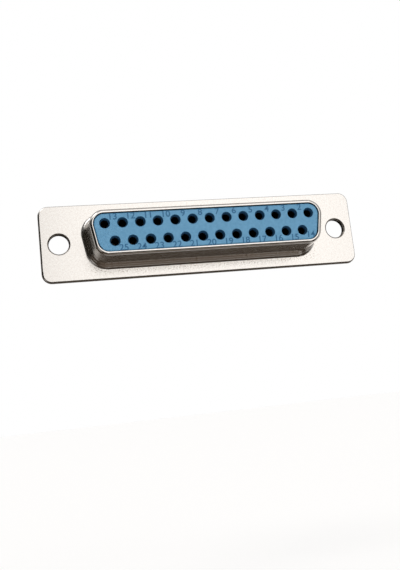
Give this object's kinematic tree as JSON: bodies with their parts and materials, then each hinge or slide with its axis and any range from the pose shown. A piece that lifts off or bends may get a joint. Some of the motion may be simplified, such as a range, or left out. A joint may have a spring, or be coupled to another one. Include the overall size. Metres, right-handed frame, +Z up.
{
  "type": "d-sub connector",
  "caption": "Female D-subminiature connector: a drawn metal collar on a flat flange, a blue insulator with rows of socket contacts, and open solder cups behind.",
  "frame": {"origin": "centre of the flange's front face, midway between the two mounting holes", "axes": "+X along the flange to the right as seen from the mating face, -Y out of the mating face, +Z up towards the long row of contacts"},
  "size_m": [0.053, 0.016, 0.0126],
  "materials": {
    "plated_shell": "bright tin plating, lightly burnished where the sheet was drawn",
    "front_plastic": "light blue moulded plastic, satin",
    "rear_plastic": "mid-blue moulded plastic, satin",
    "contact_metal": "tinned brass, satin"
  },
  "bodies": {
    "root": {"front_shell": "plated_shell", "rear_shell": "plated_shell", "front_insulator": "front_plastic", "rear_insulator": "rear_plastic", "contact_01": "contact_metal", "contact_02": "contact_metal", "contact_03": "contact_metal", "contact_04": "contact_metal", "contact_05": "contact_metal", "contact_06": "contact_metal", "contact_07": "contact_metal", "contact_08": "contact_metal", "contact_09": "contact_metal", "contact_10": "contact_metal", "contact_11": "contact_metal", "contact_12": "contact_metal", "contact_13": "contact_metal", "contact_14": "contact_metal", "contact_15": "contact_metal", "contact_16": "contact_metal", "contact_17": "contact_metal", "contact_18": "contact_metal", "contact_19": "contact_metal", "contact_20": "contact_metal", "contact_21": "contact_metal", "contact_22": "contact_metal", "contact_23": "contact_metal", "contact_24": "contact_metal", "contact_25": "contact_metal"}
  },
  "joints": []
}
